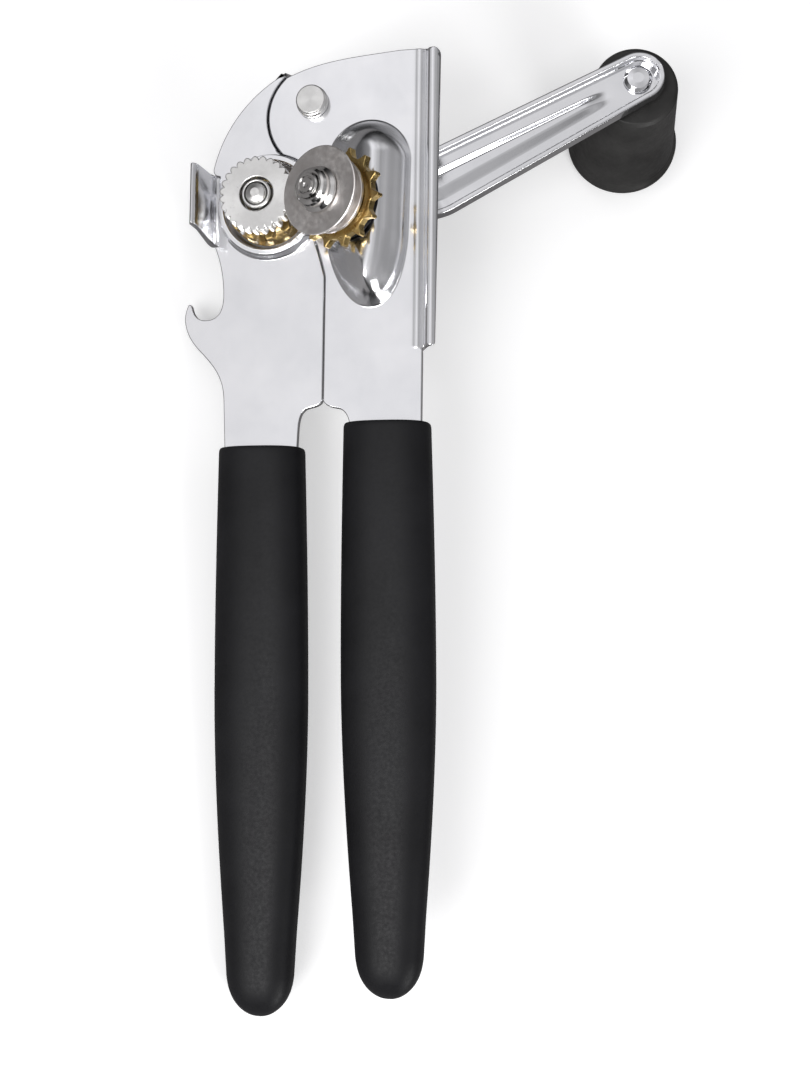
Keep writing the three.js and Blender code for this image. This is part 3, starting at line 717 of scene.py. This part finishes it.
def build_grip(name, x0, drift, top, body):
    """A soft sleeve: an oval that swells in the middle and rounds off at its end."""
    rings = []
    stations = [0.0, 0.0004, 0.0012, 0.0024, 0.004, 0.006, 0.009, 0.014]
    stations += list(np.linspace(0.02, 1 - GRIP_END, 46))
    stations += list(1 - GRIP_END * np.linspace(1, 0, 26)[1:] ** 1.6)
    for t in stations:
        mouth = 0.955 + 0.045 * math.sqrt(1 - (1 - min(1, t / GRIP_MOUTH)) ** 2)
        s = max(0.0, (t - 1 + GRIP_END) / GRIP_END)
        end = math.sqrt(max(0.0, 1 - s**2.5)) * 0.93 + 0.07 * (1 - s)
        size = mouth * max(end, 0.02)
        swell = 11.75 + 0.95 * math.sin(math.pi * min(t / 0.86, 1))
        taper = 3.6 * max(0, (t - 0.45) / 0.55) ** 1.7
        thick = 7.5 * (1 - 0.12 * t)
        rings.append(oval(x0 + t * drift, top - t * GRIP_LENGTH, (swell - taper) * size, thick * size))
    verts, faces = loft(rings)
    add(name + "_sleeve", verts, faces, HEAD, body, "grip_vinyl", stands_for=[name], weighted=True)


def oval(x, y, half, thick, count=80):
    """A squarish oval about the plates' middle plane."""
    ring = []
    for i in range(count):
        a = 2 * math.pi * i / count
        c, s = math.cos(a), math.sin(a)
        px = x + half * math.copysign(abs(c) ** 0.8, c)
        ring.append((px, y, thick * math.copysign(abs(s) ** 0.8, s) - SHEET / 2))
    return ring


# ---- turned pieces: profiles of (radius, z) on their joint's axis, from the back to the front ----


def build_turned():
    back = -2 * SHEET - 1.8
    rivet = [(3.4, back - 1.8), (4.4, back - 1.1), (4.4, back - 0.3), (3, back - 0.3), (3, 0.3), (4.4, 0.3)]
    rivet += [(4.4, 1.5), (4.12, 1.75), (4.12, 3.05), (3.8, 3.3)]
    put("pivot_rivet", rivet, HEAD, "cutter_handle", "nickel")
    put("pivot_washer", [(6.2, back), (6.2, back + 1.2)], HEAD, "feed_handle", "nickel", 3.3)

    shaft = [(2.6, -22.3), (4.4, -21.4), (4.6, -20.6), (2.9, -20.6), (2.9, 13.2), (2.5, 13.9), (1.2, 14.4)]
    put("drive_shaft", shaft, FEED_AXIS, "crank", "nickel")
    put("wheel_sleeve", [(4.1, 6.9), (4.0, 12.9), (3.7, 13.4)], FEED_AXIS, "crank", "nickel", BORE)
    put("wheel_collar", [(7.4, 6.9), (7.4, 8.7)], FEED_AXIS, "crank", "hard_steel", 4.4)
    bushing = [(6.6, -4.4), (6.6, -2.3), (4.6, -2.3), (4.6, 0.3), (7, 0.3), (7, 3.1)]
    put("shaft_bushing", bushing, FEED_AXIS, "feed_handle", "hard_steel", BORE)
    put("spring_washer", [(6.2, -6), (6.2, -4.7)], FEED_AXIS, "crank", "hard_steel", BORE)
    crank_hub = [(6, -18.2), (6, -14.3), (6.6, -13.3), (6.6, -7), (6, -6.4)]
    put("crank_hub", crank_hub, FEED_AXIS, "crank", "arm_chrome", BORE)

    stud = [(3, -17.5), (3.9, -16.5), (3.9, -15.6), (2.9, -15.6), (2.9, 4.5), (3.3, 4.5)]
    stud += [(3.4, 5.0), (3.1, 5.35), (2.4, 5.35), (2.3, 5.0), (2.0, 5.0), (1.9, 5.4), (0.9, 5.4), (0.5, 5.2)]
    put("cutter_stud", stud, CUTTER_AXIS, "cutter_handle", "polished_chrome", fillet=0.12)
    cutter_hub = [(6.1, 0.3), (6.1, 0.8), (5.1, 1.5), (5.0, 1.8), (5.2, 2.1), (5.2, 3.1)]
    cutter_hub += [(4.8, 3.9), (4.1, 4.3)]
    put("cutter_hub", cutter_hub, CUTTER_AXIS, "cutter_wheel", "polished_chrome", BORE, 0.45)
    disc = [(9.9, -1.6), (11.8, -0.3), (11.8, -0.15), (11.5, 0)]
    put("cutter_disc", disc, CUTTER_AXIS, "cutter_wheel", "hard_steel", BORE, 0.06)
    collar = [(9, -7.5), (9, -6.4), (10.1, -6.2), (10.1, -5.2), (8.2, -5), (8.2, -3.2)]
    collar += [(9.3, -2.8), (9.3, -1.9)]
    put("cutter_collar", collar, CUTTER_AXIS, "cutter_wheel", "hard_steel", BORE)
    # The spacer is a real part; its near-black colour is painted shade behind the cutter gear
    spacer = [(10.2, -12.6), (10.2, -10.4)]
    put("cutter_spacer", spacer, CUTTER_AXIS, "cutter_handle", "dark_steel", BORE)


KNOB_TOP, KNOB_LENGTH, KNOB_LIP_R = -7.4, 41.0, 17.2
WELL_R, WELL_DEPTH = 6.4, 5.0
PIN_R = 2.6
KNOB_BORE = 2.9


def build_knob():
    top, low = KNOB_TOP, KNOB_TOP - KNOB_LENGTH
    floor = low + WELL_DEPTH
    knob = [(WELL_R, low), (16.4, low), (KNOB_LIP_R, low + 0.8), (KNOB_LIP_R, low + 2.4), (16.5, low + 3.5)]
    knob += [(16, low + 4.6), (12.6, top - 1.2), (11.6, top), (KNOB_BORE, top)]
    knob += [(KNOB_BORE, floor), (WELL_R, floor)]
    verts, faces, normals = revolve(filleted(knob, 0.7, closed=True), True, 128)
    add("crank_knob_turned", verts, faces, KNOB_AXIS, "knob", "knob_plastic", normals, ["crank_knob"])
    pin = [(3.2, floor - 2.5), (4, floor - 1.9), (4, floor - 1.7), (PIN_R, floor - 1.7), (PIN_R, -2.9)]
    pin += [(4.2, -2.9), (4.2, -2.2), (3.2, -1.5), (1.6, -1.3)]
    put("knob_pin", pin, KNOB_AXIS, "crank", "arm_chrome")
    put("knob_washer", [(6.4, top + 0.3), (6.4, -5.3)], KNOB_AXIS, "crank", "hard_steel", KNOB_BORE)
    end_washer = [(5.6, floor - 1.4), (5.6, floor - 0.3)]
    put("knob_end_washer", end_washer, KNOB_AXIS, "crank", "hard_steel", KNOB_BORE)


# ---- toothed pieces ------------------------------------------------------------------------------


def build_toothed(name, outline, bore, place, top, thickness, edge, body, slot):
    """A toothed disc whose front face lies at `top` on its axis."""
    verts, normals, faces = pressed_sheet(outline, [bore], thickness=thickness, edge=edge, spacing=0.9)
    verts = [(x, y, z + top) for x, y, z in verts]
    replaced = name.rsplit("_", 1)[0]
    add(name, verts, faces, place, body, slot, normals, [replaced])


def build_feed_wheel():
    """The serrated wheel: round hollows between narrow crests."""
    radius, hollow, teeth, steps = 10.3, 1.05, 27, 12
    outline = []
    for k in range(teeth * steps):
        a = 2 * math.pi * k / (teeth * steps)
        reach = radius - hollow * (1 - abs(math.cos(teeth / 2 * a)) ** 0.65)
        outline.append((reach * math.cos(a), reach * math.sin(a)))
    bore = circle(0, 0, 4.6, 64)
    build_toothed("feed_wheel_serrated", outline, bore, FEED_AXIS, 13, 4.0, 0.35, "crank", "nickel")


def gear_outline(teeth, flank, phase):
    """Teeth whose flank of (radius, share of the pitch) runs up to the tip; tooth 0 is at the phase."""
    corners = [(r, -share) for r, share in flank] + [(r, share) for r, share in reversed(flank)]
    points = []
    for i in range(teeth):
        for r, share in corners:
            a = phase + (i + share) / teeth * 2 * math.pi
            points.append((r * math.cos(a), r * math.sin(a)))
    return filleted(points, 0.4, closed=True, steps=3)


def build_gears():
    """The two gears, a tooth of one facing a gap of the other."""
    middle = CUTTER.x + 9 * math.sin(CUTTER_TILT)
    towards = math.atan2(CUTTER.y - FEED.y, middle - FEED.x)
    broad = [(8.6, 0.34), (10.8, 0.16)]
    pointed = [(11.2, 0.33), (11.5, 0.24), (12.4, 0.13), (13.4, 0.06)]
    feed = gear_outline(12, broad, towards + math.pi / 12)
    cutter = gear_outline(14, pointed, math.pi + towards)
    bore = circle(0, 0, BORE, 48)
    build_toothed("feed_gear_toothed", feed, bore, FEED_AXIS, 6.6, 3.2, 0.22, "crank", "gear_brass")
    build_toothed(
        "cutter_gear_toothed", cutter, bore, CUTTER_AXIS, -7.8, 2.3, 0.22, "cutter_wheel", "gear_brass"
    )


# ---- crank arm: a channel along the crank's x axis, its floor bent back between hub and knob -----

REACH = 108.6
HUB_Z, BEND_Z, TIP_Z = -15.3, -32.0, -45.0
HUB_R, TIP_R, WALL, WEB, ARM_H = 11.0, 7.3, 1.6, 1.8, 5.0
BEND_FROM, BEND_TO, SAG = 13.0, 43.0, 4.2
RIB_FROM, RIB_LENGTH = 22.0, 77.0


def ease(u):
    t = min(1, max(0, (u - BEND_FROM) / (BEND_TO - BEND_FROM)))
    return t * t * (3 - 2 * t)


def rim_height(u):
    outer = BEND_Z + (u - BEND_TO) / (REACH - BEND_TO) * (TIP_Z - BEND_Z)
    return HUB_Z + ease(u) * (outer - HUB_Z)


def arm_side(u):
    """How far the arm's middle line stands to the side of the straight line from hub to knob."""
    if u > BEND_TO:
        return -SAG * (REACH - min(u, REACH)) / (REACH - BEND_TO)
    return -SAG * ease(u)


def arm_half(u, inset):
    """Half the arm's width: a taper with round ends."""
    along = HUB_R + u / REACH * (TIP_R - HUB_R)
    past = -u / (HUB_R - inset) if u < 0 else (u - REACH) / (TIP_R - inset)
    if past <= 0:
        return along - inset
    return 0.0 if past >= 1 else ((HUB_R if u < 0 else TIP_R) - inset) * math.sqrt(1 - past * past)


def rib(u):
    """Half width and height of the rib along the channel's floor."""
    share = (u - RIB_FROM) / RIB_LENGTH
    if not 0 <= share <= 1:
        return 1.0, 0.0
    rise = min(1, share * 10, (1 - share) * 8)
    return 4.4 - 3.2 * share, 1.5 * rise * rise * (3 - 2 * rise)


def arm_ring(u):
    """The channel's section at u; past the inner walls' ends it closes to a solid rim."""
    z, b = rim_height(u), arm_half(u, 0) + 0.05
    low = z - ARM_H
    inner = arm_half(u, WALL)
    is_open = inner > 0.02
    bi = inner if is_open else b * 0.3
    floor = low + WEB if is_open else z - 0.04
    half, rise = rib(u) if is_open else (1.0, 0.0)
    foot, crest = min(half + 0.9, bi * 0.8), min(half * 0.5, bi * 0.4)
    section = [(b, z), (b, low + 0.8), (b * 0.93, low), (-b * 0.93, low), (-b, low + 0.8), (-b, z)]
    section += [(-bi, z), (-bi, floor), (-foot, floor), (-crest, floor + rise)]
    section += [(crest, floor + rise), (foot, floor), (bi, floor), (bi, z)]
    return [(u, y + arm_side(u), h) for y, h in reversed(rounded_section(section, 0.45))]


def rounded_section(points, radius, steps=3):
    """Rounds every corner with the same number of points, whatever its angle."""
    out = []
    count = len(points)
    for i, p in enumerate(points):
        p = Vector(p)
        a, b = Vector(points[i - 1]) - p, Vector(points[(i + 1) % count]) - p
        cut = min(radius, a.length * 0.4, b.length * 0.4)
        start = p + (a.normalized() * cut if a.length > 1e-6 else a)
        end = p + (b.normalized() * cut if b.length > 1e-6 else b)
        for k in range(steps + 1):
            t = k / steps
            out.append(tuple(start * (1 - t) ** 2 + p * (2 * t * (1 - t)) + end * t * t))
    return out


def build_arm():
    """Sections close together round both ends, where the outside and the inside are arcs."""
    stations = [-HUB_R * math.cos(math.radians(a)) for a in np.linspace(2, 88, 22)]
    stations += [-(HUB_R - WALL) * math.cos(math.radians(a)) for a in np.linspace(0.5, 88, 18)]
    stations += list(np.arange(0, REACH, 1.2))
    stations += [REACH + TIP_R * math.sin(math.radians(a)) for a in np.linspace(2, 88, 22)]
    stations += [REACH + (TIP_R - WALL) * math.sin(math.radians(a)) for a in np.linspace(2, 89.5, 18)]
    verts, faces = loft([arm_ring(u) for u in sorted(stations)])
    name, replaced = "crank_arm_channel", ["crank_arm"]
    add(name, verts, faces, CRANK, "crank", "arm_chrome", stands_for=replaced, weighted=True)


# ---- stage, light and camera ---------------------------------------------------------------------


def build_stage():
    """A pale self-lit table at z = 0; it mirrors darker than it looks and is clear from below."""
    half = 12.0
    corners = [(-half, -half, 0), (half, -half, 0), (half, half, 0), (-half, half, 0)]
    mesh = bpy.data.meshes.new("table")
    mesh.from_pydata(corners, [], [(0, 1, 2, 3)])
    n = Surface("pale_table")
    mirrored = n.add("LightPath").outputs["Is Glossy Ray"]
    pale = n.mix(n.noise(3, 2, 0.55), (0.86, 0.86, 0.86), (0.88, 0.88, 0.88))
    inputs = {"Roughness": 0.7, "Specular IOR Level": 0.2, "Emission Color": (1, 1, 1, 1)}
    inputs["Base Color"] = n.mix(mirrored, pale, (0.22, 0.215, 0.215))
    inputs["Emission Strength"] = n.spread(mirrored, 0.34, 0.0, 0.0, 1.0)
    mesh.materials.append(n.finished(inputs))
    from_below = n.add("NewGeometry").outputs["Backfacing"]
    clear = n.add("BsdfTransparent").outputs[0]
    both = n.either(from_below, n.shader.outputs[0], clear)
    n.fill(n.tree.nodes["Material Output"], {"Surface": both})
    table = bpy.data.objects.new("table", mesh)
    bpy.context.scene.collection.objects.link(table)


# The room's brightness by the sine of the elevation: a dark band round the horizon, a pale
# shoulder and a dimmer ceiling
ROOM = [(0.0, 0.06), (0.12, 0.08), (0.30, 0.30), (0.48, 0.86), (0.72, 0.96), (0.86, 0.74), (1.0, 0.42)]
# Sides of the room that fade, each from one place on an axis to the next, down to a share
DIM_SIDES = [("X", -0.1, 0.75, 0.45), ("Y", 0.42, 0.8, 0.22), ("Y", -0.35, -0.7, 0.3)]


def build_world():
    """A pale room with dim sides and soft patches for the metal, and a plain pale wall for the eye."""
    world = bpy.data.worlds.new("studio")
    bpy.context.scene.world = world
    n = Nodes(world, "Generated")
    place = n.add("SeparateXYZ", {0: n.coords}).outputs
    ramp = n.add("ValToRGB", {0: place["Z"]})
    stops = ramp.color_ramp.elements
    while len(stops) < len(ROOM):
        stops.new(0.5)
    for stop, (at, level) in zip(stops, ROOM):
        stop.position = at
        stop.color = (level * 0.985, level * 0.98, level, 1)
    level = n.spread(n.noise(2.2, 2.0, 0.5), 0.76, 1.1, 0.35, 0.65, "SMOOTHSTEP")
    for axis, start, end, low in DIM_SIDES:
        share = n.spread(place[axis], 1.0, low, start, end, "SMOOTHSTEP")
        level = n.add("Math", {0: level, 1: share}, operation="MULTIPLY").outputs[0]
    room = n.tree.nodes["Background"]
    n.fill(room, {"Color": ramp.outputs["Color"], "Strength": level})
    wall = n.add("Background", {"Color": (0.93, 0.93, 0.93, 1)})
    seen = n.add("LightPath").outputs["Is Camera Ray"]
    both = n.either(seen, room.outputs[0], wall.outputs[0])
    n.fill(n.tree.nodes["World Output"], {"Surface": both})


def softbox(name, place, size, power):
    """A rectangular light that looks at the origin."""
    data = bpy.data.lights.new(name, "AREA")
    data.shape = "RECTANGLE"
    data.size, data.size_y = size
    data.energy = power
    obj = bpy.data.objects.new(name, data)
    bpy.context.scene.collection.objects.link(obj)
    obj.location = place
    obj.rotation_euler = (-Vector(place)).to_track_quat("-Z", "Y").to_euler()


def build_light():
    softbox("key", (-0.95, -0.6, 0.9), (0.6, 0.6), 12)
    softbox("fill", (0.5, -0.9, 0.6), (0.5, 0.6), 6)


# The photograph's viewpoint in the head frame, in millimetres and degrees
VIEW_FROM = Vector((112.98, -155.07, 412.67))
VIEW_TURN, VIEW_TILT, VIEW_ROLL = 11.76, 4.72, 0.66
LENS = 53.333  # for a sensor 36 high


def build_camera():
    data = bpy.data.cameras.new("camera")
    data.sensor_width = 36.0
    data.lens = LENS
    data.clip_start = 0.01
    local = Matrix.Translation(VIEW_FROM * MM)
    for angle, axis in ((VIEW_TURN, "Y"), (VIEW_TILT, "X"), (VIEW_ROLL, "Z")):
        local @= Matrix.Rotation(math.radians(angle), 4, axis)
    camera = bpy.data.objects.new("camera", data)
    bpy.context.scene.collection.objects.link(camera)
    camera.matrix_world = HEAD @ local
    bpy.context.scene.camera = camera


build_cutter_plate()
build_feed_plate()
build_grip("cutter_grip", 21.7, 2.5, -89.0, "cutter_handle")
build_grip("feed_grip", -13.0, 2.4, -95.2, "feed_handle")
build_turned()
build_knob()
build_feed_wheel()
build_gears()
build_arm()
build_stage()
build_world()
build_light()
build_camera()
bpy.context.scene.view_settings.view_transform = "Standard"
